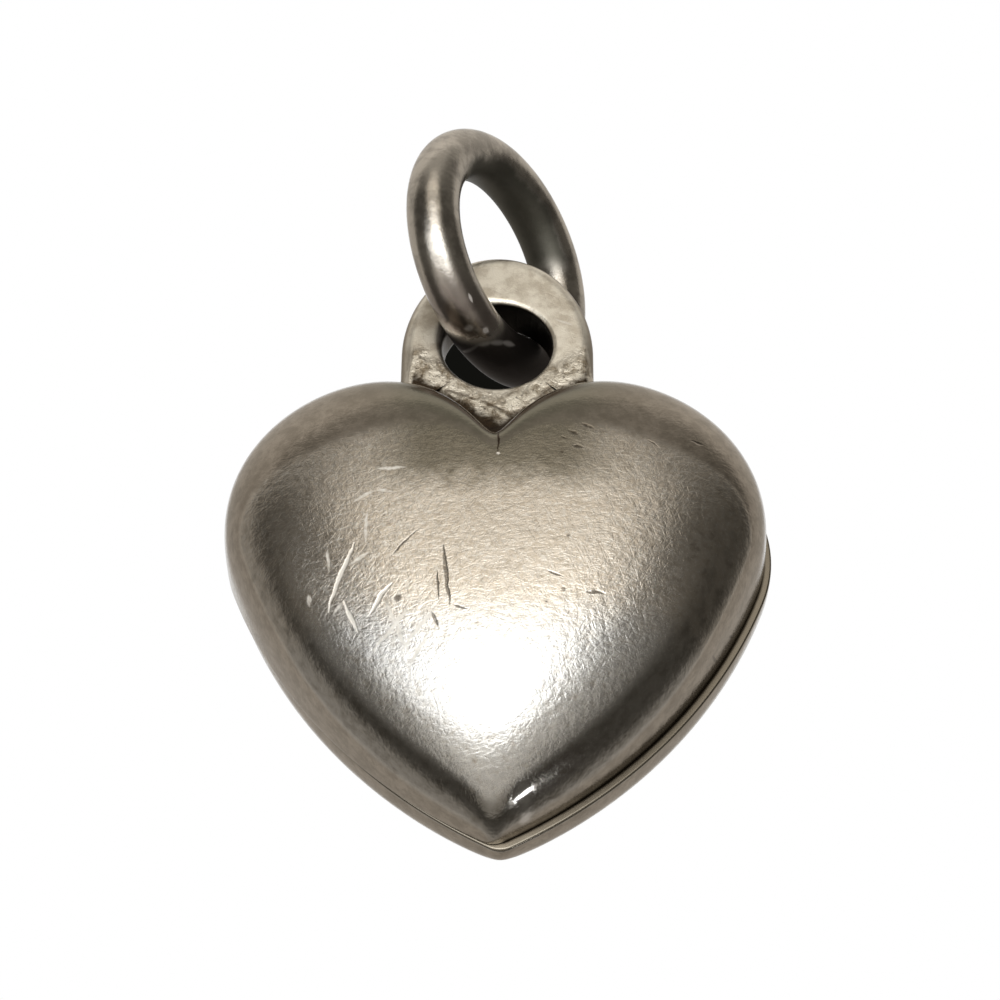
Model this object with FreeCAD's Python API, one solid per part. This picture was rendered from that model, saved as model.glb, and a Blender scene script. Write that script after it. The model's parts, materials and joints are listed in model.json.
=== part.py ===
"""Puffy heart pendant: two struck silver shells, a hanging loop soldered in the cleft, and a jump ring.

Millimetres. +Z is up as the pendant hangs, the front faces -Y, and the origin is the jump ring's centre.
The heart is drawn about its own datum, which lies midway between the lobe centres in the seam plane.
"""
import FreeCAD, Part
import math
import os

Vector = FreeCAD.Vector

# Heart outline in the seam plane: two lobe circles that meet at the cleft, side arcs and a tip
lobe_radius = 3.98
cleft_height = 2.5923
side_radius = 13.65
tip_radius = 0.6
tip_depth = 8.72
cleft_rounding = 0.05

# Puffed domes, struck from sheet
front_puff = 4.0
back_puff = 2.4
dome_centre_drop = 0.78
crown_power = 3.1
front_edge_power = 3.5
back_edge_power = 3.2
crown_radius = 6.4
crown_blend = 1.2
valley_depth = 7.3
valley_half_angle = 0.38
valley_rim_power = 2
valley_crown_power = 0.75
valley_softening = 0.45
tip_softening = 0.45
sheet_thickness = 0.6
seam_bevel = 0.1

# The back shell was soldered on a little low and to the right
back_shift_right = 0.17
back_shift_down = 0.14

# Hanging loop, a thick plate with an elliptical top, straight legs and a round hole
hole_radius = 1.5
hole_above_lobes = 2.59
loop_half_width = 2.62
loop_half_height = 3.45
loop_centre_drop = 0.15
loop_thickness = 1.27
loop_edge_round = 0.36
loop_seat_gap = 0.05

# Solder run into the cleft round the foot of the loop
solder_half_width = 2.2
solder_above_cleft = 0.61
solder_top_below_hole = 0.34
solder_front_reach = 1.5
solder_back_reach = 1.4
solder_hollow = 0.2
solder_root = 0.4

# Jump ring of round wire, hanging loosely in the loop
ring_mean_radius = 3.1
wire_radius = 0.733
ring_turn = -34.3
ring_lean = -3.6
running_gap = 0.03
seam_behind_ring = 0.18

lobe_centre_x = math.sqrt(lobe_radius ** 2 - cleft_height ** 2)
hole_centre_height = lobe_radius + hole_above_lobes
cutter_reach = front_puff + back_puff
dome_levels = (0, 4, 12, 24, 38, 52, 66, 78, 87)
outline_points = 48
point_crowding = 0.7
edge_tolerance = 1e-3
probe_step = 2
drop_halvings = 40


def side_arc_centre():
    """Centre of the right side's arc, which touches the lobe circle and the tip circle from outside."""
    lobe = Vector(lobe_centre_x, 0, 0)
    tip = Vector(0, 0, tip_radius - tip_depth)
    to_lobe = side_radius - lobe_radius
    to_tip = side_radius - tip_radius
    span = lobe.sub(tip)
    length = span.Length
    along = (to_tip ** 2 - to_lobe ** 2 + length ** 2) / (2 * length)
    across = math.sqrt(to_tip ** 2 - along ** 2)
    span.normalize()
    return tip.add(span * along).add(Vector(-span.z, 0, span.x) * across)


def ray_to_circle(angle, centre, radius):
    """Distance from the dome centre to the far side of a circle, at an angle from straight up."""
    right = centre.x
    up = centre.z + dome_centre_drop
    ahead = math.sin(angle) * right + math.cos(angle) * up
    aside = math.cos(angle) * right - math.sin(angle) * up
    return ahead + math.sqrt(max(radius ** 2 - aside ** 2, 0))


def angle_to(point):
    """Angle of a point about the dome centre, from straight up."""
    return math.atan2(point.x, point.z + dome_centre_drop)


def outline_radius(angle):
    """Polar radius of the heart outline about the dome centre: lobe arc, side arc, tip arc."""
    angle = min(abs(angle), math.pi)
    side = side_arc_centre()
    lobe = Vector(lobe_centre_x, 0, 0)
    tip = Vector(0, 0, tip_radius - tip_depth)
    lobe_end = lobe.add((lobe.sub(side)).normalize() * lobe_radius)
    tip_end = tip.add((tip.sub(side)).normalize() * tip_radius)
    if angle < angle_to(lobe_end):
        return ray_to_circle(angle, lobe, lobe_radius)
    if angle < angle_to(tip_end):
        return ray_to_circle(angle, side, side_radius)
    return ray_to_circle(angle, tip, tip_radius)


def inset_radius(angle, inset):
    """The outline's radius, moved inwards square to the outline."""
    step = 0.01
    radius = outline_radius(angle)
    slope = (outline_radius(angle + step) - outline_radius(angle - step)) / (2 * step)
    return radius - inset * math.hypot(1, slope / radius)


def contour_radius(angle, level, inset):
    """Polar radius of the dome's contour: level 1 is the rim, 0 the crown."""
    soft = math.hypot(angle, cleft_rounding + valley_softening * (1 - level))
    from_tip = math.hypot(math.pi - min(soft, math.pi), tip_softening * math.sqrt(1 - level))
    rim = inset_radius(max(math.pi - from_tip, 0), inset)
    blended = crown_radius - inset + level ** crown_blend * (rim - crown_radius + inset)
    profile = level ** valley_rim_power * (1 - level) ** valley_crown_power
    valley = valley_depth * profile * math.exp(-(angle / valley_half_angle) ** 2)
    return level * blended - valley


def contour_wire(level, inset, depth):
    """Closed smooth contour at a depth in front of the seam plane."""
    points = []
    for step in range(outline_points):
        turn = 2 * math.pi * step / outline_points - math.pi
        angle = turn - point_crowding * math.sin(2 * turn) / 2
        radius = contour_radius(angle, level, inset)
        points.append(Vector(radius * math.sin(angle), -depth, radius * math.cos(angle) - dome_centre_drop))
    curve = Part.BSplineCurve()
    curve.interpolate(Points=points, PeriodicFlag=True, Parameters=list(range(outline_points + 1)))
    return Part.Wire([curve.toShape()])


def dome(puff, edge_power, inset):
    """Solid under one dome, from its rim land up to its crown."""
    land = seam_bevel if inset == 0 else 0
    wires = []
    for degrees in dome_levels:
        angle = math.radians(degrees)
        level = math.cos(angle) ** (2 / crown_power)
        rise = math.sin(angle) ** (2 / edge_power)
        wires.append(contour_wire(level, inset, land + (puff - inset - land) * rise))
    body = Part.makeLoft(wires, True, False)
    if land:
        bevel = Part.makeLoft([contour_wire(1, seam_bevel, 0), contour_wire(1, 0, land)], True, True)
        body = body.fuse(bevel)
    return body


def shell(puff, edge_power):
    """One struck half: a dome of even sheet thickness, open at the seam plane."""
    return dome(puff, edge_power, 0).cut(dome(puff, edge_power, sheet_thickness))


def as_back_half(shape):
    """Turns a front half to face the back, then moves it to where the back half was soldered."""
    turned = shape.mirror(Vector(0, 0, 0), Vector(0, 1, 0))
    turned.translate(Vector(back_shift_right, 0, -back_shift_down))
    return turned


def through_cylinder(radius, right, up):
    """Cylinder right through the pendant, front to back."""
    return Part.makeCylinder(radius, 2 * cutter_reach, Vector(right, -cutter_reach, up), Vector(0, 1, 0))


def lobe_cylinders(gap):
    """The two lobes as plain cylinders, one gap larger than the shells, to seat the loop on."""
    right_lobe = through_cylinder(lobe_radius + gap, lobe_centre_x, 0)
    return right_lobe.fuse(through_cylinder(lobe_radius + gap, -lobe_centre_x, 0))


def hanging_loop():
    """Round-topped plate with straight legs that stand on the lobes, drilled for the ring."""
    front = -loop_thickness / 2
    middle = hole_centre_height - loop_centre_drop
    left_foot = Vector(-loop_half_width, front, lobe_radius)
    left_shoulder = Vector(-loop_half_width, front, middle)
    crest = Vector(0, front, middle + loop_half_height)
    right_shoulder = Vector(loop_half_width, front, middle)
    right_foot = Vector(loop_half_width, front, lobe_radius)
    top = Part.Ellipse(crest, right_shoulder, Vector(0, front, middle))
    arc = Part.Arc(top, top.parameter(left_shoulder), top.parameter(right_shoulder))
    legs = Part.makePolygon([left_shoulder, left_foot, right_foot, right_shoulder])
    plate = Part.Face(Part.Wire([arc.toShape()] + legs.Edges)).extrude(Vector(0, loop_thickness, 0))
    plate = plate.cut(through_cylinder(hole_radius, 0, hole_centre_height))
    rims = [edge for edge in plate.Edges
            if edge.BoundBox.YLength < edge_tolerance and edge.BoundBox.ZMax > lobe_radius + edge_tolerance]
    plate = plate.makeFillet(loop_edge_round, rims)
    return plate.cut(lobe_cylinders(loop_seat_gap))


def outline_prisms():
    """The heart outline drawn out to the front and, where the back half sits, to the back."""
    outline = Part.Face(contour_wire(1, 0, 0))
    front = outline.extrude(Vector(0, -cutter_reach, 0))
    return [front, as_back_half(front)]


def solder_slope(face, reach, side):
    """Hollow slope from the foot of the loop's face out to the solder's edge in the valley."""
    top = Vector(-solder_half_width, side * face, hole_centre_height - hole_radius - solder_top_below_hole)
    toe = Vector(-solder_half_width, side * reach, cleft_height - solder_root)
    middle = (top + toe) / 2 + Vector(0, -side, -1).normalize() * solder_hollow
    return toe, top, Part.Arc(toe, middle, top).toShape()


def cleft_solder(loop):
    """Solder that fills the cleft under the loop and climbs its foot, front and back."""
    front_toe, front_top, front_slope = solder_slope(loop_thickness / 2, solder_front_reach, -1)
    back_toe, back_top, back_slope = solder_slope(loop_thickness / 2, solder_back_reach, 1)
    profile = Part.Wire([front_slope, Part.LineSegment(front_top, back_top).toShape(),
                         back_slope, Part.LineSegment(back_toe, front_toe).toShape()])
    run = Part.Face(profile).extrude(Vector(2 * solder_half_width, 0, 0))
    run = run.common(through_cylinder(solder_half_width, 0, cleft_height + solder_above_cleft))
    for other in outline_prisms() + [loop]:
        run = run.cut(other)
    return run


def ring_axis():
    """Direction of the jump ring's axis, turned and leaned from straight across."""
    turn = math.radians(ring_turn)
    lean = math.radians(ring_lean)
    return Vector(math.cos(lean) * math.cos(turn), math.cos(lean) * math.sin(turn), math.sin(lean))


def beyond_loop_top(right, up):
    """Distance outside the loop's elliptical top, close to it, of a point given from the ellipse's centre."""
    share = math.hypot(right / loop_half_width, up / loop_half_height)
    slope = math.hypot(right / loop_half_width ** 2, up / loop_half_height ** 2)
    return (share - 1) * share / slope


def gap_to_loop(drop):
    """Least distance from the ring's wire to the loop when the hole hangs this far below the ring's centre."""
    axis = ring_axis()
    level = axis.cross(Vector(0, 0, 1)).normalize()
    steep = axis.cross(level)
    least = ring_mean_radius
    for degrees in range(0, 360, probe_step):
        angle = math.radians(degrees)
        wire = (level * math.cos(angle) + steep * math.sin(angle)) * ring_mean_radius
        from_hole = math.hypot(wire.x, wire.z + drop)
        beyond_top = beyond_loop_top(wire.x, wire.z + drop + loop_centre_drop)
        across = max(hole_radius - from_hole, beyond_top) + loop_edge_round
        through = abs(wire.y - seam_behind_ring) - loop_thickness / 2 + loop_edge_round
        outside = math.hypot(max(across, 0), max(through, 0)) + min(max(across, through), 0)
        least = min(least, outside - loop_edge_round)
    return least - wire_radius


def hang_drop():
    """How far the hole's centre hangs below the ring's centre with the running gap left at the hole's edge."""
    low = ring_mean_radius
    high = ring_mean_radius + hole_radius
    for step in range(drop_halvings):
        middle = (low + high) / 2
        if gap_to_loop(middle) > running_gap:
            low = middle
        else:
            high = middle
    return low


def main():
    os.makedirs("parts", exist_ok=True)
    loop = hanging_loop()
    pieces = {
        "front_shell": shell(front_puff, front_edge_power),
        "back_shell": as_back_half(shell(back_puff, back_edge_power)),
        "hanging_loop": loop,
        "cleft_solder": cleft_solder(loop),
    }
    for solid in pieces.values():
        solid.translate(Vector(0, seam_behind_ring, -hole_centre_height - hang_drop()))
    pieces["jump_ring"] = Part.makeTorus(ring_mean_radius, wire_radius, Vector(0, 0, 0), ring_axis())
    for name, solid in pieces.items():
        solid.exportStep("parts/" + name + ".step")
        print(name, "solids", len(solid.Solids), "valid", solid.isValid(), "volume", round(solid.Volume, 2))
    print("hang drop", round(hang_drop(), 4), "gap", round(gap_to_loop(hang_drop()), 4))


main()
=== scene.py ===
"""Looks of a worn silver puffy heart pendant, hung by its jump ring.

Sizes are millimetres and are turned into metres when a mesh is made. +Z is up, the front faces -Y, and the
origin is the jump ring's centre. The heart is drawn about its own datum, midway between the lobe centres.
"""
import json
import math

import bpy
import numpy as np
from mathutils import Matrix, Vector


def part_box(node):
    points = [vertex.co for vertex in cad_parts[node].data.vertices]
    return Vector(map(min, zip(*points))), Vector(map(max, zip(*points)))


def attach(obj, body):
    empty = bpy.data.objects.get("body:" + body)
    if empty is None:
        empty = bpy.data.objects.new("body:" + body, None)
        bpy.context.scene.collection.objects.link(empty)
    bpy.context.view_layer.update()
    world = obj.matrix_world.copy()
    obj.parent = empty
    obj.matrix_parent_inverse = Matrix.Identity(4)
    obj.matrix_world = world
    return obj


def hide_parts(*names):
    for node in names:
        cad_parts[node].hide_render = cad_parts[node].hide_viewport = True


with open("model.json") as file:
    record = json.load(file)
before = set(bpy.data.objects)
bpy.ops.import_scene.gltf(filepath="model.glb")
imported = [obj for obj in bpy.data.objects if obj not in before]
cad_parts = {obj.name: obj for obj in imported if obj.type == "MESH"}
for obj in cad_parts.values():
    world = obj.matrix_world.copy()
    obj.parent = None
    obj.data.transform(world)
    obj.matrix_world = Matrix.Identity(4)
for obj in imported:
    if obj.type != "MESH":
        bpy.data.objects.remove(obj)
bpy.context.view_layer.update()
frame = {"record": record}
mm = 0.001

# Heart outline in the seam plane: two lobe circles that meet at the cleft, side arcs and a tip
lobe_radius = 3.98
cleft_height = 2.5923
side_radius = 13.65
tip_radius = 0.6
tip_depth = 8.72
cleft_rounding = 0.05

# Puffed domes
front_puff = 4.0
back_puff = 2.4
dome_centre_drop = 0.78
crown_power = 3.1
front_edge_power = 3.5
back_edge_power = 3.2
crown_radius = 6.4
crown_blend = 1.2
valley_depth = 7.3
valley_half_angle = 0.38
valley_rim_power = 2
valley_crown_power = 0.75
valley_softening = 0.45
tip_softening = 0.45
sheet_thickness = 0.6
front_edge_round = 0.04
back_edge_round = 0.05
edge_round_steps = 5
far_from_rim = 9.0
back_shift_right = 0.17
back_shift_down = 0.14

# Hanging loop
hole_radius = 1.5
hole_above_lobes = 2.59
loop_half_width = 2.62
loop_half_height = 3.45
loop_centre_drop = 0.15
loop_thickness = 1.27
loop_edge_round = 0.36
hole_edge_round = 0.15
wire_rubs_at = math.radians(-48)
wire_rub_spread = 0.7
foot_sink = 0.04
foot_settling_steps = 8

# Jump ring
ring_mean_radius = 3.1
wire_radius = 0.733

# Fineness of the meshes
dome_points = 560
dome_rings = 104
inner_rings = 10
point_crowding = 0.7
loop_points = 360
loop_arc_steps = 9
loop_face_steps = 10
ring_points = 288
wire_points = 72
solder_voxel = 0.045
solder_lumps = 0.1
sharp_edge = math.radians(50)

# Camera, placed about the heart's datum: how far below and right of straight ahead it stands
camera_below = math.radians(35.855)
camera_right = math.radians(1.064)
camera_roll = math.radians(0.562)
camera_distance = 72.675
sensor_width = 36.0
lens_length = 100.32
shift_right = 0.00436
shift_up = 0.05327

# Studio. Directions are degrees from the camera's back axis and degrees round from image up
sky = (0.105, 0.096, 0.083, 1.0)
table = ((170, -70), 69, 76, (0.49, 0.455, 0.41, 1.0))
backdrop = ((180, 0), 18, 26, (1.0, 1.0, 1.0, 1.0))
# A painted shadow: a dark spot in the world that shows through the loop's hole
painted_shadow_behind_hole = (1.2, 1.75, (0.006, 0.006, 0.005, 1.0))
# Soft lights: direction, the degrees up to which it is full and at which it is gone, colour and strength
soft_lights = (
    ((125, 0), 20, 60, (1.0, 0.94, 0.84), 0.16),
    ((94, 0), 12, 36, (1.0, 0.94, 0.86), 0.14),
    ((12, 180), 22, 62, (1.0, 0.95, 0.87), 0.42),
    ((40, -135), 10, 30, (1.0, 0.96, 0.88), 0.2),
    ((54, 0), 16, 30, (1.0, 0.92, 0.80), 0.78),
    ((20, 0), 13, 26, (0.97, 0.99, 1.0), 1.7),
    ((36, 0), 11, 23, (1.0, 1.0, 0.99), 1.15),
    ((31, -62), 10, 23, (0.98, 0.99, 1.0), 1.25),
    ((22, 40), 8, 16, (0.97, 0.99, 1.0), 0.75),
    ((88, 143), 2.2, 4.0, (1.0, 1.0, 1.0), 4.6),
)

lobe_centre_x = math.sqrt(lobe_radius ** 2 - cleft_height ** 2)
hole_centre_height = lobe_radius + hole_above_lobes
loop_top_height = hole_centre_height - loop_centre_drop + loop_half_height
loop_low, loop_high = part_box("hanging_loop")
datum = Vector((0, (loop_low.y + loop_high.y) / (2 * mm), loop_high.z / mm - loop_top_height))


def camera_axes():
    """Right, up and back directions of the camera."""
    back = Vector((math.sin(camera_right) * math.cos(camera_below),
                   -math.cos(camera_right) * math.cos(camera_below), -math.sin(camera_below)))
    level = Vector((0, 0, 1)).cross(back).normalized()
    upright = back.cross(level)
    right = level * math.cos(camera_roll) + upright * math.sin(camera_roll)
    return right, back.cross(right), back


def add_camera():
    right, up, back = camera_axes()
    data = bpy.data.cameras.new("camera")
    data.sensor_width = sensor_width
    data.lens = lens_length
    data.shift_x = shift_right
    data.shift_y = shift_up
    data.clip_start = 0.001
    data.clip_end = 20
    camera = bpy.data.objects.new("camera", data)
    camera.matrix_world = Matrix((right, up, back)).transposed().to_4x4()
    camera.location = (datum + back * camera_distance) * mm
    bpy.context.scene.collection.objects.link(camera)
    bpy.context.scene.camera = camera


class Nodes:
    """Adds nodes to one material or world and links them."""

    def __init__(self, tree):
        tree.nodes.clear()
        self.tree = tree

    def add(self, kind, inputs=(), **settings):
        made = self.tree.nodes.new(kind)
        for key, value in settings.items():
            setattr(made, key, value)
        for name, value in dict(inputs).items():
            self.put(made.inputs[name], value)
        return made

    def put(self, socket, value):
        if isinstance(value, bpy.types.NodeSocket):
            self.tree.links.new(value, socket)
        else:
            socket.default_value = value

    def math(self, operation, *values, clamp=False):
        made = self.add("ShaderNodeMath", enumerate(values), operation=operation, use_clamp=clamp)
        return made.outputs[0]

    def vector(self, operation, *values, output=0):
        return self.add("ShaderNodeVectorMath", enumerate(values), operation=operation).outputs[output]

    def scaled(self, vector, factor):
        inputs = {"Vector": vector, "Scale": factor}
        return self.add("ShaderNodeVectorMath", inputs, operation="SCALE").outputs[0]

    def fade(self, value, start, end, low=0.0, high=1.0):
        """Smooth step from low at start to high at end."""
        inputs = {"Value": value, "From Min": start, "From Max": end, "To Min": low, "To Max": high}
        return self.add("ShaderNodeMapRange", inputs, interpolation_type="SMOOTHSTEP").outputs["Result"]

    def colour(self, factor, first, second, blend="MIX"):
        made = self.add("ShaderNodeMix", data_type="RGBA", blend_type=blend)
        self.put(made.inputs["Factor"], factor)
        self.put(made.inputs[6], first)
        self.put(made.inputs[7], second)
        return made.outputs[2]

    def noise(self, place, scale, detail=3.0, roughness=0.55, distortion=0.0):
        inputs = {"Vector": place, "Scale": scale, "Detail": detail, "Roughness": roughness,
                  "Distortion": distortion}
        return self.add("ShaderNodeTexNoise", inputs).outputs["Fac"]

    def attribute(self, name):
        return self.add("ShaderNodeAttribute", attribute_name=name).outputs["Fac"]

    def stretched(self, place, turn, stretch):
        """The place turned about the front-to-back axis, then stretched."""
        turned = self.add("ShaderNodeMapping", {"Vector": place, "Rotation": (0, turn, 0)})
        return self.vector("MULTIPLY", turned.outputs["Vector"], stretch)

    def largest(self, values):
        """The largest value. A generator keeps few values waiting at a time, which the renderer needs."""
        result = None
        for value in values:
            result = value if result is None else self.math("MAXIMUM", result, value)
        return result


def rgb(red, green, blue):
    return (red, green, blue, 1.0)


def toward(from_camera, round_from_up):
    """Direction at an angle from the camera's back axis, turned from image up towards image right."""
    right, up, back = camera_axes()
    away = math.radians(from_camera)
    turn = math.radians(round_from_up)
    aside = up * math.cos(turn) + right * math.sin(turn)
    return (back * math.cos(away) + aside * math.sin(away)).normalized()


def build_world():
    """Soft studio: large soft lights ahead, a pale table and backdrop behind the pendant, dim sides, and a
    painted shadow seen through the loop's hole.
    """
    world = bpy.data.worlds.new("studio")
    bpy.context.scene.world = world
    world.use_nodes = True
    net = Nodes(world.node_tree)
    view = net.add("ShaderNodeTexCoord").outputs["Generated"]

    def patch(direction, full, none):
        """1 within full degrees of a direction, falling to 0 at none degrees."""
        near = net.vector("DOT_PRODUCT", view, tuple(direction), output=1)
        return net.fade(near, math.cos(math.radians(none)), math.cos(math.radians(full)))

    direction, full, none, colour = table
    light = net.colour(patch(toward(*direction), full, none), sky, colour)
    for direction, full, none, colour, strength in soft_lights:
        glow = tuple(part * strength for part in colour) + (1.0,)
        lit = net.colour(1.0, light, glow, "ADD")
        light = net.colour(patch(toward(*direction), full, none), light, lit)
    direction, full, none, colour = backdrop
    light = net.colour(patch(toward(*direction), full, none), light, colour)
    # Painted shadow in the direction seen through the loop's hole
    full, none, colour = painted_shadow_behind_hole
    eye = datum + camera_axes()[2] * camera_distance
    through_hole = (datum + Vector((0, 0, hole_centre_height)) - eye).normalized()
    light = net.colour(patch(through_hole, full, none), light, colour)
    background = net.add("ShaderNodeBackground", {"Color": light, "Strength": 1.0})
    net.add("ShaderNodeOutputWorld", {"Surface": background.outputs[0]})


def add_floor():
    """A plain pale floor, well below the pendant."""
    half = 0.2
    depth = -0.36
    mesh = bpy.data.meshes.new("floor")
    corners = [(-half, -half, depth), (half, -half, depth), (half, half, depth), (-half, half, depth)]
    mesh.from_pydata(corners, [], [(0, 1, 2, 3)])
    floor = bpy.data.objects.new("floor", mesh)
    bpy.context.scene.collection.objects.link(floor)
    material = bpy.data.materials.new("floor")
    material.use_nodes = True
    net = Nodes(material.node_tree)
    place = net.add("ShaderNodeTexCoord").outputs["Object"]
    grain = net.noise(place, 60, 4)
    shade = net.colour(grain, rgb(0.78, 0.77, 0.75), rgb(0.84, 0.83, 0.81))
    shader = net.add("ShaderNodeBsdfPrincipled", {"Base Color": shade, "Roughness": 0.8})
    net.add("ShaderNodeOutputMaterial", {"Surface": shader.outputs[0]})
    mesh.materials.append(material)


def side_arc_centre():
    """Centre of the right side's arc, which touches the lobe circle and the tip circle."""
    lobe = np.array((lobe_centre_x, 0.0))
    tip = np.array((0.0, tip_radius - tip_depth))
    to_lobe = side_radius - lobe_radius
    to_tip = side_radius - tip_radius
    span = lobe - tip
    length = math.hypot(*span)
    along = (to_tip ** 2 - to_lobe ** 2 + length ** 2) / (2 * length)
    across = math.sqrt(to_tip ** 2 - along ** 2)
    span = span / length
    return tip + span * along + np.array((-span[1], span[0])) * across


def ray_to_circle(angle, centre, radius):
    """Distance from the dome centre to the far side of a circle, at an angle from straight up."""
    right = centre[0]
    up = centre[1] + dome_centre_drop
    ahead = np.sin(angle) * right + np.cos(angle) * up
    aside = np.cos(angle) * right - np.sin(angle) * up
    return ahead + np.sqrt(np.maximum(radius ** 2 - aside ** 2, 0))


def angle_to(point):
    return math.atan2(point[0], point[1] + dome_centre_drop)


def outline_radius(angle):
    """Polar radius of the heart outline about the dome centre."""
    angle = np.minimum(np.abs(angle), math.pi)
    side = side_arc_centre()
    lobe = np.array((lobe_centre_x, 0.0))
    tip = np.array((0.0, tip_radius - tip_depth))
    lobe_end = lobe + (lobe - side) / math.hypot(*(lobe - side)) * lobe_radius
    tip_end = tip + (tip - side) / math.hypot(*(tip - side)) * tip_radius
    return np.where(angle < angle_to(lobe_end), ray_to_circle(angle, lobe, lobe_radius),
                    np.where(angle < angle_to(tip_end), ray_to_circle(angle, side, side_radius),
                             ray_to_circle(angle, tip, tip_radius)))


def inset_radius(angle, inset):
    """The outline's radius, moved inwards square to the outline."""
    step = 0.01
    radius = outline_radius(angle)
    slope = (outline_radius(angle + step) - outline_radius(angle - step)) / (2 * step)
    return radius - inset * np.hypot(1, slope / radius)


def valley_share(angle, level):
    """How deep the valley from the cleft is here, as a share of its depth."""
    profile = level ** valley_rim_power * (1 - level) ** valley_crown_power
    return profile * np.exp(-(angle / valley_half_angle) ** 2)


def contour_radius(angle, level, inset):
    """Polar radius of the dome's contour: level 1 is the rim, 0 the crown."""
    soft = np.hypot(angle, cleft_rounding + valley_softening * (1 - level))
    from_tip = np.hypot(math.pi - np.minimum(soft, math.pi), tip_softening * np.sqrt(1 - level))
    rim = inset_radius(np.maximum(math.pi - from_tip, 0), inset)
    blended = crown_radius - inset + level ** crown_blend * (rim - crown_radius + inset)
    return level * blended - valley_depth * valley_share(angle, level)


def profile_turns(puff, edge_power, count):
    """Turns along the dome's profile, evenly spaced by length from the rim towards the crown."""
    dense = (1 - np.cos(np.linspace(0, math.pi, 4001))) / 2 * math.pi / 2
    across = crown_radius * np.cos(dense) ** (2 / crown_power)
    rise = puff * np.sin(dense) ** (2 / edge_power)
    length = np.concatenate([[0], np.cumsum(np.hypot(np.diff(across), np.diff(rise)))])
    return np.interp(np.linspace(0, length[-1], count + 1)[:-1], length, dense)


def on_profile(at, edge_power):
    """Level and share of the puff at a turn along the dome's profile."""
    return math.cos(at) ** (2 / crown_power), math.sin(at) ** (2 / edge_power)


def dome_contour(angle, level, inset, depth):
    radius = contour_radius(angle, level, inset)
    return np.stack([radius * np.sin(angle), np.full_like(angle, -depth),
                     radius * np.cos(angle) - dome_centre_drop], axis=-1)


def add_piece(name, points, faces, material, body, nodes, masks=()):
    """Makes one mesh piece from millimetre points, kept inside the nodes' box, in place of the first node."""
    boxes = np.array([[tuple(corner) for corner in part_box(node)] for node in nodes])
    points = np.clip(np.asarray(points) * mm, boxes[:, 0].min(axis=0), boxes[:, 1].max(axis=0))
    mesh = bpy.data.meshes.new(name)
    mesh.from_pydata(points.tolist(), [], faces)
    mesh.validate()
    turned_outward(mesh)
    for mask, values in dict(masks).items():
        store_mask(mesh, mask, values)
    mesh.shade_smooth()
    mesh.set_sharp_from_angle(angle=sharp_edge)
    mesh.materials.append(material)
    piece = bpy.data.objects.new(name, mesh)
    bpy.context.scene.collection.objects.link(piece)
    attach(piece, body)
    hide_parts(nodes[0])
    return piece


def store_mask(mesh, name, values):
    layer = mesh.attributes.new(name, "FLOAT", "POINT")
    layer.data.foreach_set("value", np.asarray(values, dtype=np.float32))


def vertex_vectors(mesh, name):
    """The places ("co") or normals ("normal") of a mesh's vertices."""
    values = np.zeros(len(mesh.vertices) * 3)
    mesh.vertices.foreach_get(name, values)
    return values.reshape(-1, 3)


def turned_outward(mesh):
    """Flips a closed mesh whose faces point inwards."""
    mesh.calc_loop_triangles()
    corners = np.zeros(len(mesh.loop_triangles) * 3, dtype=np.int64)
    mesh.loop_triangles.foreach_get("vertices", corners)
    first, second, third = vertex_vectors(mesh, "co")[corners.reshape(-1, 3)].transpose(1, 0, 2)
    if np.einsum("ij,ij->i", first, np.cross(second, third)).sum() < 0:
        mesh.flip_normals()


def tube_faces(rings, count, poles):
    """Quads between rings of points that close on themselves, with a fan at each pole."""
    faces = []
    for ring in range(rings - 1):
        start = ring * count
        for step in range(count):
            after = (step + 1) % count
            faces.append((start + step, start + after, start + count + after, start + count + step))
    if poles:
        first = rings * count
        last = (rings - 1) * count
        for step in range(count):
            after = (step + 1) % count
            faces.append((first, after, step))
            faces.append((first + 1, last + step, last + after))
    return faces


def closed_tube_faces(rings, count):
    """Quads between rings as above, and from the last ring back to the first."""
    last = (rings - 1) * count
    faces = tube_faces(rings, count, False)
    for step in range(count):
        after = (step + 1) % count
        faces.append((last + step, last + after, after, step))
    return faces


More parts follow.
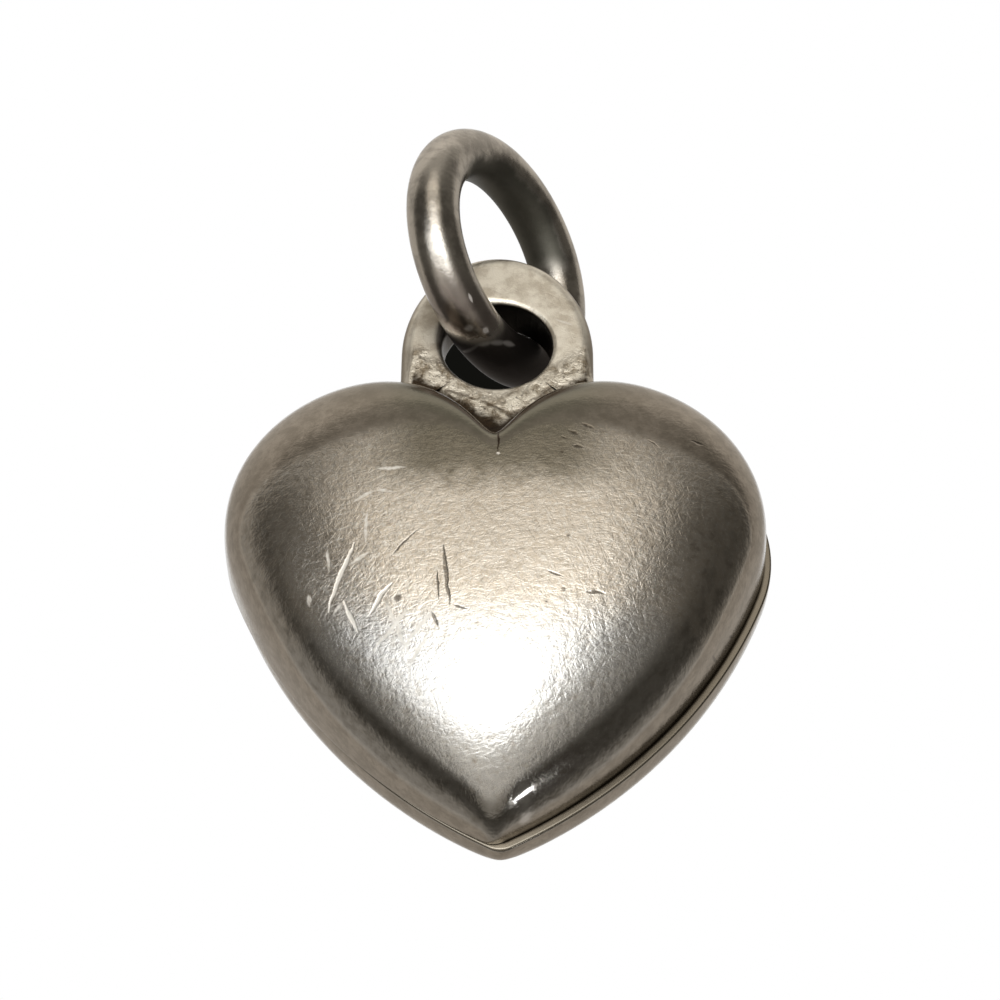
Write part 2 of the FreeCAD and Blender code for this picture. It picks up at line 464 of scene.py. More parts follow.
def add_shell(name, puff, edge_power, facing, shift, edge_round, material):
    """One struck half with its inside, and masks that tell the material where on the dome it is."""
    turn = np.arange(dome_points) * 2 * math.pi / dome_points - math.pi
    angle = turn - point_crowding * np.sin(2 * turn) / 2
    rings = []
    levels = []
    for at in profile_turns(puff, edge_power, dome_rings)[::-1]:
        level, rise = on_profile(at, edge_power)
        rings.append(dome_contour(angle, level, 0, edge_round + (puff - edge_round) * rise))
        levels.append(level)
    for step in range(1, edge_round_steps + 1):
        bend = step / edge_round_steps * math.pi / 2
        inset = edge_round * (1 - math.cos(bend))
        rings.append(dome_contour(angle, 1.0, inset, edge_round * (1 - math.sin(bend))))
        levels.append(1.0)
    outer = len(rings)
    for at in profile_turns(puff, edge_power, inner_rings):
        level, rise = on_profile(at, edge_power)
        rings.append(dome_contour(angle, level, sheet_thickness, (puff - sheet_thickness) * rise))
        levels.append(level)
    poles = np.array([(0, -puff, -dome_centre_drop), (0, sheet_thickness - puff, -dome_centre_drop)])
    points = np.concatenate(rings + [poles])
    steps = np.linalg.norm(np.diff(np.array(rings[:outer]), axis=0), axis=-1)
    from_rim = np.zeros((len(rings), dome_points))
    from_rim[:outer - 1] = np.cumsum(steps[::-1], axis=0)[::-1]
    from_rim[outer:] = -1.0
    valley = np.concatenate([valley_share(angle, level) for level in levels])
    masks = {"from_rim": np.append(from_rim.ravel(), (far_from_rim, far_from_rim)),
             "valley": np.append(valley, (0, 0))}
    points[:, 1] *= facing
    points += np.array((shift[0], 0, -shift[1])) + np.array(datum)
    faces = tube_faces(len(rings), dome_points, True)
    piece = add_piece(name + "_struck", points, faces, material, "heart", (name,), masks)
    add_painted_light_masks(piece.data)
    return piece


def smooth(value, start, end):
    share = np.clip((value - start) / (end - start), 0, 1)
    return share * share * (3 - 2 * share)


def add_painted_light_masks(mesh):
    """Masks for the dark band of painted reflection round the shoulder, the paler rim beyond it, whose tone
    is tarnish and painted reflection, and the painted shade and dirt in the cleft.

    Tilt is the degrees between the surface's normal and the camera's back axis, and side is that normal's
    turn from image up. They are worked out once, for the heart as it hangs, and stay on it when it turns.
    """
    normals = vertex_vectors(mesh, "normal")
    right, up, back = (np.array(axis) for axis in camera_axes())
    tilt = np.degrees(np.arccos(np.clip(normals @ back, -1, 1)))
    side = np.arctan2(normals @ right, normals @ up)
    low_corners = np.exp(-((np.abs(side) - 2.2) / 0.33) ** 2)
    band_end = 52 - 6 * np.cos(side) - 4.5 * np.cos(2 * side) + 4 * low_corners
    band_start = band_end - 26 - 2 * np.sin(side) + 6 * np.cos(side) - 4 * low_corners
    kept_at_top = 1 - 0.9 * np.exp(-(side / 1.0) ** 2)
    # band: painted dark reflection round the shoulder; rim: the steep sides, partly painted reflection
    band = smooth(tilt, band_start, band_start + 12) * smooth(tilt, band_end + 1.8, band_end - 1.8)
    rim = smooth(tilt, band_end - 1.8, band_end + 1.8)
    spots = vertex_vectors(mesh, "co") / mm - np.array(datum)
    from_middle = np.abs(spots[:, 0])
    above_low_end = smooth(spots[:, 2], 0.3, 1.2)
    # cleft: painted shade along the cleft's edge and in its pocket, with dirt there
    edge = 0.5 * smooth(tilt, 36, 50) + 0.5 * smooth(tilt, 58, 68)
    edge *= np.exp(-(side / 1.2) ** 4) * smooth(from_middle, 3.6, 1.4) * smooth(tilt, 108, 82)
    pocket = 0.6 * smooth(tilt, 88, 104) * smooth(from_middle, 1.7, 0.2)
    store_mask(mesh, "band", band * kept_at_top)
    store_mask(mesh, "rim", rim)
    store_mask(mesh, "cleft", np.maximum(edge, pocket) * above_low_end)


def loop_outline():
    """Points of the loop's outline about the hole's centre, and the polar angle of each from straight up."""
    angle = np.arange(loop_points) * 2 * math.pi / loop_points
    across = np.sin(angle)
    up = np.cos(angle)
    bend = (across / loop_half_width) ** 2 + (up / loop_half_height) ** 2
    lean = loop_centre_drop * up / loop_half_height ** 2
    rest = (loop_centre_drop / loop_half_height) ** 2 - 1
    reach = (-lean + np.sqrt(lean ** 2 - bend * rest)) / bend
    leg = loop_half_width / np.maximum(np.abs(across), 1e-6)
    low = reach * up < -loop_centre_drop
    foot = hole_above_lobes / np.maximum(-up, 1e-6)
    for step in range(foot_settling_steps):
        beside = np.abs(np.minimum(leg, foot) * across)
        lobe_top = np.sqrt(np.maximum(lobe_radius ** 2 - (lobe_centre_x - beside) ** 2, 0))
        ground = np.maximum(lobe_top - foot_sink, cleft_height + foot_sink)
        foot = (hole_centre_height - ground) / np.maximum(-up, 1e-6)
    reach = np.where(low, np.minimum(leg, foot), reach)
    return angle, np.stack([reach * across, reach * up], axis=-1)


def add_loop(material):
    """The hanging loop as a ring of rounded sections between its hole and its outline."""
    angle, outline = loop_outline()
    around = np.roll(outline, -1, axis=0) - np.roll(outline, 1, axis=0)
    outward = np.stack([-around[:, 1], around[:, 0]], axis=-1)
    outward *= np.sign((outward * outline).sum(axis=-1, keepdims=True))
    outward /= np.linalg.norm(outward, axis=-1, keepdims=True)
    hole = np.stack([np.sin(angle), np.cos(angle)], axis=-1)
    near_rub = np.exp(-((np.angle(np.exp(1j * (angle - wire_rubs_at)))) / wire_rub_spread) ** 2)
    hole_round = (hole_edge_round + (loop_edge_round - hole_edge_round) * near_rub)[:, None]
    half = loop_thickness / 2
    turns = np.linspace(0, math.pi / 2, loop_arc_steps)

    def sections(side):
        """Rings of points from the hole's wall over one face to the edge, with the masks of each."""
        made = []

        def put(flat, depth, in_hole, at_edge):
            ring = np.stack([flat[:, 0], np.full(loop_points, 1.0) * side * depth, flat[:, 1]], axis=-1)
            made.append((ring, in_hole, at_edge))

        for turn in turns[::-1]:
            reach = hole_radius + hole_round * (1 - math.sin(turn))
            put(hole * reach, half - hole_round[:, 0] * (1 - math.cos(turn)), math.sin(turn), 0.0)
        for share in np.linspace(0, 1, loop_face_steps + 2)[1:-1]:
            flat = (hole * (hole_radius + hole_round) * (1 - share)
                    + (outline - outward * loop_edge_round) * share)
            put(flat, half, 0.0, 0.0)
        for turn in turns:
            inset = loop_edge_round - loop_edge_round * math.sin(turn)
            depth = half - loop_edge_round * (1 - math.cos(turn))
            put(outline - outward * inset, depth, 0.0, math.sin(turn))
        return made

    rings, in_hole, at_edge = zip(*(sections(-1) + sections(1)[::-1]))
    points = np.concatenate(rings) + np.array((0, 0, hole_centre_height)) + np.array(datum)
    faces = closed_tube_faces(len(rings), loop_points)
    masks = {"in_hole": np.repeat(in_hole, loop_points), "at_edge": np.repeat(at_edge, loop_points)}
    return add_piece("hanging_loop_worn", points, faces, material, "heart",
                     ("hanging_loop", "cleft_solder"), masks)


def add_ring(material):
    """The jump ring: one closed ring of round wire about the hinge's axis."""
    axis = np.array(frame["record"]["behaviour"]["joints"][0]["axis"])
    level = np.cross(axis, (0, 0, 1))
    level /= np.linalg.norm(level)
    steep = np.cross(axis, level)
    turn = np.arange(ring_points)[:, None] * 2 * math.pi / ring_points
    roll = np.arange(wire_points)[None, :] * 2 * math.pi / wire_points
    out = level * np.cos(turn)[..., None] + steep * np.sin(turn)[..., None]
    points = (out * (ring_mean_radius + wire_radius * np.cos(roll))[..., None]
              + axis * (wire_radius * np.sin(roll))[..., None])
    faces = closed_tube_faces(ring_points, wire_points)
    return add_piece("jump_ring_wire", points.reshape(-1, 3), faces, material, "ring", ("jump_ring",))


def add_solder(material):
    """The solder in the cleft, roughened into lumps."""
    lump = bpy.data.objects.new("solder_lump", bpy.data.objects["cleft_solder"].data.copy())
    lump.data.transform(Matrix.Scale(1 / mm, 4))
    bpy.context.scene.collection.objects.link(lump)
    remesh = lump.modifiers.new("even", "REMESH")
    remesh.mode = "VOXEL"
    remesh.voxel_size = solder_voxel
    bpy.context.view_layer.update()
    mesh = bpy.data.meshes.new_from_object(lump.evaluated_get(bpy.context.evaluated_depsgraph_get()))
    bpy.data.objects.remove(lump)
    spots = vertex_vectors(mesh, "co")
    across, along, up = spots.T
    broad = np.sin(4.1 * across + 1.3 * np.sin(3.3 * up))
    broad = broad * np.sin(3.7 * up + 0.9 + 1.1 * np.sin(2.9 * across))
    fine = np.sin(8.3 * across + 2.1 * up + 0.4) * np.sin(7.1 * along - 5.3 * up + 1.2)
    lumps = solder_lumps * (broad + 0.6 * fine) / 1.6
    spots = spots + vertex_vectors(mesh, "normal") * lumps[:, None]
    faces = [tuple(face.vertices) for face in mesh.polygons]
    return add_piece("cleft_solder_rough", spots, faces, material, "heart", ("cleft_solder",))


# Marks, as places right of and above the heart's datum, or right, back and above. Widths are half widths
# Painted glints on the ring's front wire and a painted lit arc on the wire inside the loop's hole
ring_painted_glints = (
    ((-0.4, -1.25, 6.61), (-0.22, -1.12, 6.6), 0.15, 0.45),
    ((-0.9, -1.32, 6.54), (-0.62, -1.36, 6.56), 0.15, 0.2),
    ((-0.62, -1.3, 6.53), (-0.36, -1.24, 6.58), 0.11, 0.1),
    ((-0.78, -2.07, 7.19), (-0.65, -1.86, 7.0), 0.07, 0.75),
    ((-0.98, -0.4, 6.47), (-0.45, -0.9, 6.4), 0.12, 0.26),
    ((-0.6, -0.84, 6.38), (-0.1, -0.84, 6.49), 0.11, 0.14),
    ((-0.25, -0.87, 6.44), (0.25, -0.62, 6.65), 0.12, 0.2),
    ((0.1, -0.73, 6.58), (0.5, -0.36, 6.77), 0.12, 0.26),
)
solder_crevices = (((-1.5, 5.0), (-0.45, 4.6)), ((-0.45, 4.6), (0.3, 4.15)), ((0.9, 4.6), (1.6, 5.1)))
solder_crevice_width = 0.1
loop_scratch = ((1.55, 7.5), (2.05, 7.25), 0.06)
deep_scratches = (
    ((-3.4, -2.4), (-4.0, -4.1)), ((-3.6, -3.9), (-3.25, -4.75)), ((-2.45, -3.6), (-3.0, -4.4)),
)
deep_scratch_width = 0.075
pale_scratches = (
    ((-3.05, -2.7), (-3.5, -3.0)), ((-4.05, -2.5), (-4.0, -3.1)), ((-3.6, -3.9), (-3.9, -4.2)),
    ((-3.45, -1.2), (-2.9, -0.9)), ((-2.9, -0.9), (-2.5, -0.95)), ((-3.1, -1.5), (-3.15, -2.4)),
    ((-2.95, -0.25), (-2.15, -0.2)), ((-4.5, -3.5), (-4.5, -3.8)), ((-2.6, -4.05), (-1.95, -5.5)),
    ((-1.3, -4.2), (-2.2, -5.4)), ((-2.0, -4.3), (-2.9, -5.3)), ((-1.5, -4.9), (-2.0, -5.8)),
)
pale_scratch_width = 0.065
dark_scratches = (
    ((-1.22, -2.6), (-1.03, -4.3), 0.055), ((-1.33, -3.3), (-1.28, -4.1), 0.035),
    ((-1.85, -2.15), (-2.5, -2.85), 0.04), ((-1.48, -4.4), (-1.3, -4.8), 0.06),
    ((-0.92, -4.3), (-0.6, -4.38), 0.05), ((1.35, -3.35), (1.7, -3.5), 0.045),
    ((2.3, -3.85), (2.75, -3.85), 0.06), ((2.2, 1.2), (2.55, 1.05), 0.09),
    ((1.85, 1.0), (2.12, 0.85), 0.08), ((1.65, 0.8), (1.8, 0.7), 0.06),
    ((2.0, 0.47), (2.25, 0.38), 0.09), ((3.8, 0.85), (4.2, 0.6), 0.05), ((4.95, 1.05), (5.3, 1.0), 0.06),
)
rim_nicks = (
    ((5.9, -0.85, -3.2), (6.02, -0.45, -2.95), 0.07), ((5.4, -1.15, -3.95), (5.6, -0.35, -3.68), 0.07),
)
pits = (
    ((-2.3, -4.0), 0.13), ((1.72, 0.25), 0.07), ((1.7, -3.85), 0.08), ((1.3, -4.2), 0.05),
    ((1.85, -2.3), 0.05),
)
cleft_crease = ((0.08, 1.2), (0.1, 0.2), 0.05)
crease_speck = ((0.1, 0.22), 0.06)
# A polished spot near the tip, brightened by a painted glint
polished_glint_spot = ((0.45, -8.4), (1.03, -8.08), 0.2)

# Colours of the heart: its silver from warm to cool, its wear and tarnish, its painted shade, reflections and
# glints, and the dirt in its seam and cleft
warm_silver = (rgb(0.76, 0.685, 0.585), rgb(0.83, 0.765, 0.675))
# Painted highlight tint: cooler silver low on the dome
cool_highlight_silver = rgb(0.71, 0.705, 0.69)
pale_fleck = rgb(0.93, 0.91, 0.86)
brown_blotch = rgb(0.46, 0.41, 0.34)
pale_hatch = rgb(0.95, 0.93, 0.89)
brown_mottle = rgb(0.42, 0.36, 0.30)
# Painted dark reflection on the top of the dome
top_painted_reflection = rgb(0.215, 0.195, 0.15)
# Silver of the steep sides: tarnish and painted reflection
rim_tarnish_and_reflection = (rgb(0.31, 0.275, 0.23), rgb(0.42, 0.375, 0.32))
rim_fleck = rgb(0.26, 0.22, 0.18)
# Painted shade high on the steep sides, towards the cleft
shoulder_painted_shade = rgb(0.22, 0.195, 0.155)
# Painted dark reflection round the shoulder
band_painted_reflection = rgb(0.185, 0.17, 0.145)
# Painted shade down the valley from the cleft
valley_painted_shade = rgb(0.17, 0.175, 0.125)
# Painted shade along the cleft, then dirt and painted shade at its edge
cleft_painted_shade = rgb(0.2, 0.195, 0.15)
cleft_dirt_and_shade = rgb(0.07, 0.05, 0.033)
ledge_silver = rgb(0.32, 0.29, 0.24)
seam_grime = rgb(0.035, 0.028, 0.02)
bare_scratch = rgb(0.98, 0.95, 0.89)
filled_scratch = rgb(0.07, 0.055, 0.04)
# Painted shade in the cleft's crease
crease_painted_shade = rgb(0.06, 0.042, 0.03)
# Painted glint at the end of the cleft's crease
speck_painted_glint = rgb(0.98, 0.96, 0.92)
# Painted glint on the polished spot near the tip
tip_painted_glint = rgb(0.93, 0.92, 0.91)

# Colours of the loop and the solder
loop_silver = (rgb(0.68, 0.625, 0.53), rgb(0.97, 0.93, 0.83))
brushed_silver = rgb(0.96, 0.93, 0.86)
loop_side_dark = rgb(0.27, 0.235, 0.185)
# Painted shade on the wall inside the loop's hole
hole_painted_shade = rgb(0.055, 0.048, 0.038)
bare_loop_scratch = rgb(0.97, 0.94, 0.88)
solder_silver = (rgb(0.34, 0.285, 0.21), rgb(0.95, 0.895, 0.78))
solder_pit = rgb(0.13, 0.10, 0.07)
solder_foot_dirt_and_shade = rgb(0.05, 0.035, 0.022)
crevice_grime = rgb(0.10, 0.075, 0.05)

# Colours of the ring
ring_silver = (rgb(0.37, 0.345, 0.31), rgb(0.60, 0.565, 0.51))
ring_fleck = rgb(0.30, 0.26, 0.27)
ring_inside = rgb(0.085, 0.083, 0.068)
# Painted shade on the wire inside the loop's hole
ring_painted_shade_in_hole = rgb(0.045, 0.038, 0.035)
ring_low_dark = rgb(0.19, 0.15, 0.145)
# Colour of the painted glints on the ring
ring_glint_colour = rgb(0.92, 0.89, 0.86)


def heart_place(net):
    """Place on the pendant in millimetres from the heart's datum."""
    place = net.scaled(net.add("ShaderNodeTexCoord").outputs["Object"], 1 / mm)
    return net.vector("SUBTRACT", place, tuple(datum))


def finish_metal(net, colour, roughness, bump, metallic=1.0):
    shader = net.add("ShaderNodeBsdfPrincipled", {"Base Color": colour, "Roughness": roughness,
                                                  "Metallic": metallic, "Specular IOR Level": 0.05,
                                                  "Normal": bump})
    net.add("ShaderNodeOutputMaterial", {"Surface": shader.outputs[0]})


def new_material(name):
    material = bpy.data.materials.new(name)
    material.use_nodes = True
    return material, Nodes(material.node_tree)


def mark(net, flat, start, end, width):
    """1 on a straight mark between two places, fading to 0 at its edge. Two numbers mean right and up."""
    begin = Vector((start[0], 0, start[1])) if len(start) == 2 else Vector(start)
    span = (Vector((end[0], 0, end[1])) if len(end) == 2 else Vector(end)) - begin
    from_begin = net.vector("SUBTRACT", flat, tuple(begin))
    along = net.vector("DOT_PRODUCT", from_begin, tuple(span / span.length_squared), output=1)
    along = net.math("MULTIPLY", along, 1.0, clamp=True)
    nearest = net.scaled(tuple(span), along)
    gap = net.vector("LENGTH", net.vector("SUBTRACT", from_begin, nearest), output=1)
    from_middle = net.math("SUBTRACT", along, 0.5)
    taper = net.math("MULTIPLY", net.math("MULTIPLY", from_middle, from_middle), 2.6 * width)
    return net.fade(net.math("ADD", gap, taper), width, 0.25 * width)


def pit(net, flat, centre, radius):
    """1 in a small pit, fading to 0 at its edge."""
    gap = net.vector("DISTANCE", flat, (centre[0], 0, centre[1]), output=1)
    return net.fade(gap, radius, 0.4 * radius)


def flattened(net, place, wander):
    """The place seen from the front, with a little waviness so that marks aren't ruled lines."""
    wave = net.add("ShaderNodeTexNoise", {"Vector": place, "Scale": 2.2, "Detail": 3.0}).outputs["Color"]
    wave = net.scaled(net.vector("SUBTRACT", wave, (0.5, 0.5, 0.5)), wander)
    return net.vector("MULTIPLY", net.vector("ADD", place, wave), (1, 0, 1))


def streaks(net, place, turns, fineness, length):
    """Fine straight wear in several directions, about 0 to 1."""
    def layer(number, turn):
        shifted = net.vector("ADD", place, (3.7 * number, 5.1 * number, 1.9 * number))
        across = net.stretched(shifted, math.radians(turn), (fineness, length, length))
        return net.fade(net.noise(across, 1.0, 2, 0.6), 0.52, 0.68)

    return net.largest(layer(number, turn) for number, turn in enumerate(turns))


def crown_colour(net, noises, right, up):
    """Silver of the dome inside the dark band, with a painted dark reflection towards the top and a cooler
    painted highlight tint low down.
    """
    mottle = noises["mottle"]
    warm = net.colour(net.fade(noises["clouds"], 0.3, 0.7), *warm_silver)
    # Painted highlight tint: cooler low on the dome, where the highlight falls
    cool = net.fade(net.math("MULTIPLY_ADD", mottle, 1.6, up), -2.9, -4.1)
    crown = net.colour(cool, warm, cool_highlight_silver)
    crown = net.colour(net.fade(noises["flecks"], 0.42, 0.72, 0.0, 0.8), crown, pale_fleck)
    crown = net.colour(net.fade(noises["blotch"], 0.48, 0.3, 0.0, 0.45), crown, brown_blotch)
    crown = net.colour(net.math("MULTIPLY", noises["hatch"], 0.3), crown, pale_hatch)
    crown = net.colour(net.fade(mottle, 0.42, 0.28, 0.0, 0.5), crown, brown_mottle)
    # Painted dark reflection, darker towards the top of the dome
    top = net.fade(net.math("MULTIPLY_ADD", mottle, -1.2, up), -1.9, -0.5, 0.0, 0.92)
    top = net.math("MULTIPLY", top, net.fade(net.math("ABSOLUTE", right), 3.6, 1.6, 0.16, 1.0))
    return net.colour(top, crown, top_painted_reflection)


def rim_colour(net, noises, right, up):
    """Duller silver of the steep sides beyond the dark band, tarnish and painted reflection, with painted
    shade high up towards the cleft.
    """
    rim = net.colour(net.fade(noises["mottle"], 0.35, 0.65), *rim_tarnish_and_reflection)
    rim = net.colour(net.fade(noises["flecks"], 0.5, 0.7, 0.0, 0.4), rim, rim_fleck)
    # Painted shade high on the steep sides, towards the cleft
    shoulder = net.fade(up, 1.2, 2.6, 0.0, 0.55)
    shoulder = net.math("MULTIPLY", shoulder, net.fade(net.math("ABSOLUTE", right), 5.0, 3.2))
    return net.colour(shoulder, rim, shoulder_painted_shade)


def seam_share(net, edge, struck):
    """1 where dirt sits in the seam: a line on the front half, the inner side of the edge on the back."""
    if struck:
        return net.math("MULTIPLY", net.fade(edge, 0.1, 0.03), net.fade(edge, -0.12, -0.02))
    return net.fade(edge, -0.12, -0.25)


def heart_colour(net, noises, right, up, struck):
    """Colour of one half of the heart, without its scratches."""
    mottle = noises["mottle"]
    crown = crown_colour(net, noises, right, up)
    # The steep sides take a colour that is tarnish and painted reflection
    body = net.colour(net.attribute("rim"), crown, rim_colour(net, noises, right, up))
    # Painted dark reflection on the band round the shoulder
    band = net.math("MULTIPLY", net.attribute("band"), net.fade(mottle, 0.3, 0.6, 0.95, 0.75))
    body = net.colour(band, body, band_painted_reflection)
    # Painted shade down the valley from the cleft
    body = net.colour(net.math("MULTIPLY", net.attribute("valley"), 2.6, clamp=True), body, valley_painted_shade)
    # Painted shade along the cleft, darkest with dirt and painted shade at its edge
    body = net.colour(net.math("MULTIPLY", net.attribute("cleft"), 1.5, clamp=True), body, cleft_painted_shade)
    body = net.colour(net.fade(net.attribute("cleft"), 0.4, 1.0), body, cleft_dirt_and_shade)
    edge = net.math("MULTIPLY_ADD", mottle, 0.05, net.attribute("from_rim"))
    body = net.colour(net.fade(edge, 0.13, 0.08), body, ledge_silver)
    return net.colour(seam_share(net, edge, struck), body, seam_grime)


def heart_relief(net, noises):
    """Height of the fine wear, weaker on the band and the rim and gone at the seam."""
    height = net.math("MULTIPLY_ADD", noises["grain"], 0.35, net.math("MULTIPLY", noises["flecks"], 1.3))
    height = net.math("MULTIPLY_ADD", noises["blotch"], 3.0, height)
    height = net.math("MULTIPLY_ADD", noises["hatch"], -0.6, height)
    height = net.math("MULTIPLY", height, net.fade(net.attribute("rim"), 0.0, 1.0, 1.0, 0.35))
    height = net.math("MULTIPLY", height, net.fade(net.attribute("band"), 0.0, 1.0, 1.0, 0.5))
    return net.math("MULTIPLY", height, net.fade(net.attribute("from_rim"), 0.0, 0.25))


def add_struck_marks(net, place, along, flecks, body, rough, height, metallic):
    """Adds the scratches, pits and nicks, the painted shade of the cleft's crease with a painted glint at its
    end, and the polished spot near the tip, brightened by a painted glint.

    Only the deep and dark scratches are in the height, which the renderer works out three times.
    """
    flat = flattened(net, place, 0.2)
    front = net.fade(along, -0.2, -0.6)
    deep = net.largest(mark(net, flat, start, end, deep_scratch_width) for start, end in deep_scratches)
    pale = net.largest(mark(net, flat, start, end, pale_scratch_width) for start, end in pale_scratches)
    pale = net.math("MULTIPLY", pale, net.fade(flecks, 0.35, 0.6, 0.4, 1.0))
    pale = net.math("MULTIPLY", net.math("MAXIMUM", pale, deep), front)
    dark = net.largest(mark(net, flat, *scratch) for scratch in dark_scratches)
    cut = net.math("MULTIPLY", net.math("MAXIMUM", dark, deep), front)
    dark = net.math("MAXIMUM", dark, net.largest(pit(net, flat, *spot) for spot in pits))
    dark = net.math("MULTIPLY", net.math("MULTIPLY", dark, front), net.fade(flecks, 0.3, 0.5, 0.4, 1.0))
    dark = net.math("MAXIMUM", dark, net.largest(mark(net, place, *nick) for nick in rim_nicks))
    crease = net.math("MULTIPLY", mark(net, flat, *cleft_crease), front)
    speck = net.math("MULTIPLY", pit(net, flat, *crease_speck), front)
    polished = net.math("MULTIPLY", mark(net, flat, *polished_glint_spot), front)
    body = net.colour(net.math("MULTIPLY", pale, 0.8), body, bare_scratch)
    body = net.colour(net.math("MULTIPLY", dark, 0.75), body, filled_scratch)
    # Painted shade in the cleft's crease
    body = net.colour(crease, body, crease_painted_shade)
    # Painted glint at the end of the cleft's crease
    body = net.colour(speck, body, speck_painted_glint)
    # Painted glint brightening the polished spot near the tip
    body = net.colour(net.math("MULTIPLY", polished, 0.6), body, tip_painted_glint)
    rough = net.fade(polished, 0.0, 0.6, net.math("MULTIPLY_ADD", pale, 0.25, rough), 0.08)
    height = net.math("MULTIPLY_ADD", cut, -3.0, height)
    height = net.math("MULTIPLY", height, net.fade(polished, 0.0, 0.7, 1.0, 0.15))
    return body, rough, height, net.math("MULTIPLY_ADD", pale, -0.75, metallic)


def worn_heart(name, struck):
    """Worn silver of the heart. The struck marks are only on the front."""
    material, net = new_material(name)
    place = heart_place(net)
    right, along, up = net.add("ShaderNodeSeparateXYZ", {"Vector": place}).outputs
    noises = {
        "clouds": net.noise(place, 0.5, 4, 0.6),
        "mottle": net.noise(place, 2.6, 5, 0.65),
        "flecks": net.noise(place, 9.0, 4, 0.7),
        "grain": net.noise(place, 30, 3, 0.6),
        "blotch": net.noise(place, 4.2, 3, 0.6),
        "hatch": streaks(net, place, (20, -35, 75, -70, 95), 13, 2.4),
    }
    body = heart_colour(net, noises, right, up, struck)
    rough = net.fade(net.attribute("band"), 0.0, 1.0, 0.26, 0.18)
    rough = net.fade(net.attribute("rim"), 0.0, 1.0, rough, 0.15)
    rough = net.math("MULTIPLY_ADD", noises["flecks"], 0.12, net.math("SUBTRACT", rough, 0.05))
    height = heart_relief(net, noises)
    metallic = net.math("SUBTRACT", 1.0, net.fade(net.attribute("cleft"), 0.4, 1.0))
    if struck:
        body, rough, height, metallic = add_struck_marks(net, place, along, noises["flecks"], body, rough,
                                                         height, metallic)
    bump = net.add("ShaderNodeBump", {"Strength": 0.26, "Distance": 0.00002, "Height": height})
    finish_metal(net, body, rough, bump.outputs[0], metallic)
    return material


def above_valley(net, right, along, up):
    """Height on the loop and solder above the line where the domes' shoulders hide them."""
    spread = net.math("ABSOLUTE", net.math("SUBTRACT", right, 0.08))
    line = net.math("MULTIPLY_ADD", spread, 0.72, 3.88)
    line = net.math("SUBTRACT", line, net.fade(spread, 2.3, 2.6, 0.0, 1.5))
    return net.math("SUBTRACT", net.math("MULTIPLY_ADD", net.math("ABSOLUTE", along), 0.7235, up), line)


def rough_fill(net, place, height):
    """Colour, roughness and relief of the pitted solder, dark with dirt and painted shade at its foot."""
    lumps = net.noise(place, 2.6, 5, 0.65, 0.5)
    small_pits = net.noise(place, 8, 4, 0.7)
    body = net.colour(net.fade(lumps, 0.36, 0.6), *solder_silver)
    body = net.colour(net.fade(small_pits, 0.54, 0.68, 0.0, 0.9), body, solder_pit)
    # Dirt and painted shade at the solder's foot, along the domes' shoulders
    foot = net.fade(net.math("MULTIPLY_ADD", lumps, 0.5, height), 0.87, 0.52)
    body = net.colour(foot, body, solder_foot_dirt_and_shade)
    flat = flattened(net, place, 0.3)
    crevices = net.largest(mark(net, flat, start, end, solder_crevice_width)
                           for start, end in solder_crevices)
    body = net.colour(net.math("MULTIPLY", crevices, 0.75), body, crevice_grime)
    rough = net.math("MULTIPLY_ADD", small_pits, 0.35, 0.22)
    return body, rough, net.math("MULTIPLY_ADD", small_pits, 0.5, lumps)


def worn_loop():
    """Brushed silver of the loop, with the solder's rough surface on its foot."""
    material, net = new_material("loop_silver")
    place = heart_place(net)
    right, along, up = net.add("ShaderNodeSeparateXYZ", {"Vector": place}).outputs
    mottle = net.noise(place, 2.0, 5, 0.62)
    brushed = streaks(net, place, (8, -30, 60), 10, 1.2)
    grain = net.noise(place, 22, 4, 0.6)
    body = net.colour(net.fade(mottle, 0.33, 0.62), *loop_silver)
    body = net.colour(net.math("MULTIPLY", brushed, 0.12), body, brushed_silver)
    # Darker on the loop's rounded sides
    body = net.colour(net.fade(net.attribute("at_edge"), 0.45, 0.9), body, loop_side_dark)
    height = above_valley(net, right, along, up)
    fill, fill_rough, fill_bumps = rough_fill(net, place, height)
    filled = net.fade(net.math("MULTIPLY_ADD", mottle, 1.2, height), 2.1, 1.6)
    body = net.colour(filled, body, fill)
    # Painted shade on the wall inside the loop's hole
    wall = net.math("MULTIPLY", net.fade(net.attribute("in_hole"), 0.7, 0.98), net.fade(along, 0.62, 0.55))
    body = net.colour(wall, body, hole_painted_shade)
    scratch = mark(net, flattened(net, place, 0.1), *loop_scratch)
    body = net.colour(net.math("MULTIPLY", scratch, 0.8), body, bare_loop_scratch)
    rough = net.fade(filled, 0.0, 1.0, net.math("MULTIPLY_ADD", mottle, 0.18, 0.26), fill_rough)
    bumps = net.math("MULTIPLY_ADD", grain, 0.12, net.math("MULTIPLY", brushed, -0.03))
    bumps = net.math("ADD", net.math("MULTIPLY", filled, fill_bumps), bumps)
    bump = net.add("ShaderNodeBump", {"Strength": 0.6, "Distance": 0.0001, "Height": bumps})
    finish_metal(net, body, rough, bump.outputs[0])
    return material


def rough_solder():
    """The rough, pitted solder."""
    material, net = new_material("solder")
    place = heart_place(net)
    right, along, up = net.add("ShaderNodeSeparateXYZ", {"Vector": place}).outputs
    body, rough, bumps = rough_fill(net, place, above_valley(net, right, along, up))
    bump = net.add("ShaderNodeBump", {"Strength": 0.7, "Distance": 0.00012, "Height": bumps})
    finish_metal(net, body, rough, bump.outputs[0])
    return material


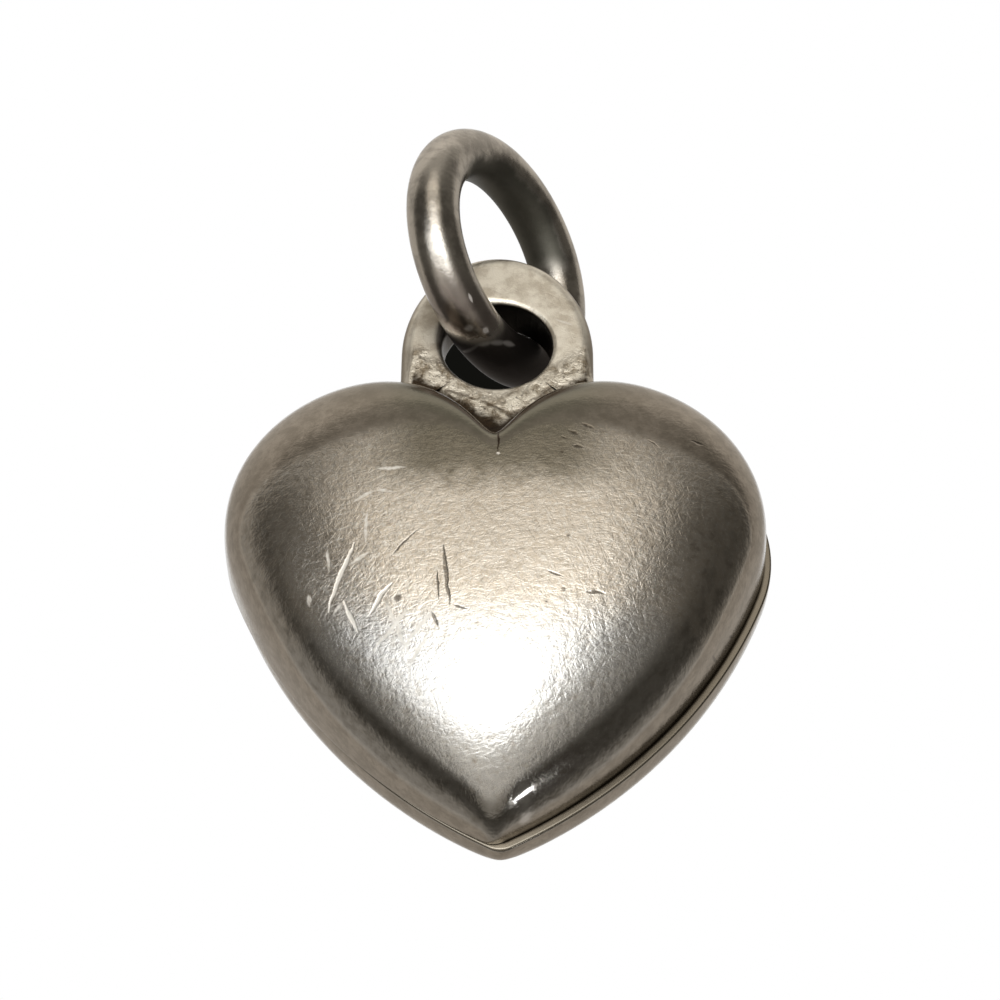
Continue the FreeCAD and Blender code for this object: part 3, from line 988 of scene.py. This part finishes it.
def polished_ring():
    """Smooth silver of the ring, darker inside at its top and low on its front wire, with painted shade where
    it sits in the loop's hole and painted glints.
    """
    material, net = new_material("ring_silver")
    place = heart_place(net)
    along, up = net.add("ShaderNodeSeparateXYZ", {"Vector": place}).outputs[1:]
    mottle = net.noise(place, 1.3, 5, 0.6)
    flecks = net.noise(place, 7.0, 4, 0.7)
    grain = net.noise(place, 30, 3, 0.6)
    body = net.colour(net.fade(mottle, 0.36, 0.6), *ring_silver)
    body = net.colour(net.fade(flecks, 0.6, 0.75, 0.0, 0.4), body, ring_fleck)
    from_centre = net.vector("LENGTH", net.vector("ADD", place, tuple(datum)), output=1)
    inner = net.fade(net.math("MULTIPLY_ADD", mottle, 0.5, from_centre), 3.35, 2.95)
    inner = net.math("MULTIPLY", inner, net.fade(up, 10.7, 11.6, 0.0, 0.92))
    body = net.colour(inner, body, ring_inside)
    # Painted shade on the wire where it sits in the loop's hole
    from_hole = net.vector("DISTANCE", place, (0, 0, hole_centre_height), output=1)
    kept = net.fade(net.math("MULTIPLY_ADD", mottle, 0.4, from_hole), 2.9, 2.1)
    kept = net.math("MULTIPLY", kept, net.fade(net.math("MULTIPLY_ADD", mottle, 0.5, along), -1.0, -0.5))
    body = net.colour(kept, body, ring_painted_shade_in_hole)
    # Darker low on the front wire
    low_wire = net.math("MULTIPLY", net.fade(net.math("MULTIPLY_ADD", mottle, -2.0, up), 6.9, 5.9), 0.6)
    low_wire = net.math("MULTIPLY", low_wire, net.fade(along, -0.9, -1.3))
    body = net.colour(low_wire, body, ring_low_dark)
    # Painted glints and a painted lit arc on the ring
    glint = net.largest(net.math("MULTIPLY", mark(net, place, start, end, width), strength)
                      for start, end, width, strength in ring_painted_glints)
    body = net.colour(glint, body, ring_glint_colour)
    rough = net.math("MULTIPLY_ADD", flecks, 0.24, 0.07)
    rough = net.fade(net.math("MAXIMUM", kept, inner), 0.0, 1.0, rough, 0.55)
    bumps = net.math("MULTIPLY_ADD", grain, 0.4, flecks)
    bump = net.add("ShaderNodeBump", {"Strength": 0.3, "Distance": 0.00002, "Height": bumps})
    finish_metal(net, body, rough, bump.outputs[0], net.math("MULTIPLY_ADD", glint, -0.8, 1.0))
    return material


add_camera()
bpy.context.scene.view_settings.view_transform = "Standard"
build_world()
add_floor()
add_shell("front_shell", front_puff, front_edge_power, 1, (0, 0), front_edge_round,
          worn_heart("front_silver", True))
add_shell("back_shell", back_puff, back_edge_power, -1, (back_shift_right, back_shift_down), back_edge_round,
          worn_heart("back_silver", False))
add_loop(worn_loop())
add_solder(rough_solder())
add_ring(polished_ring())
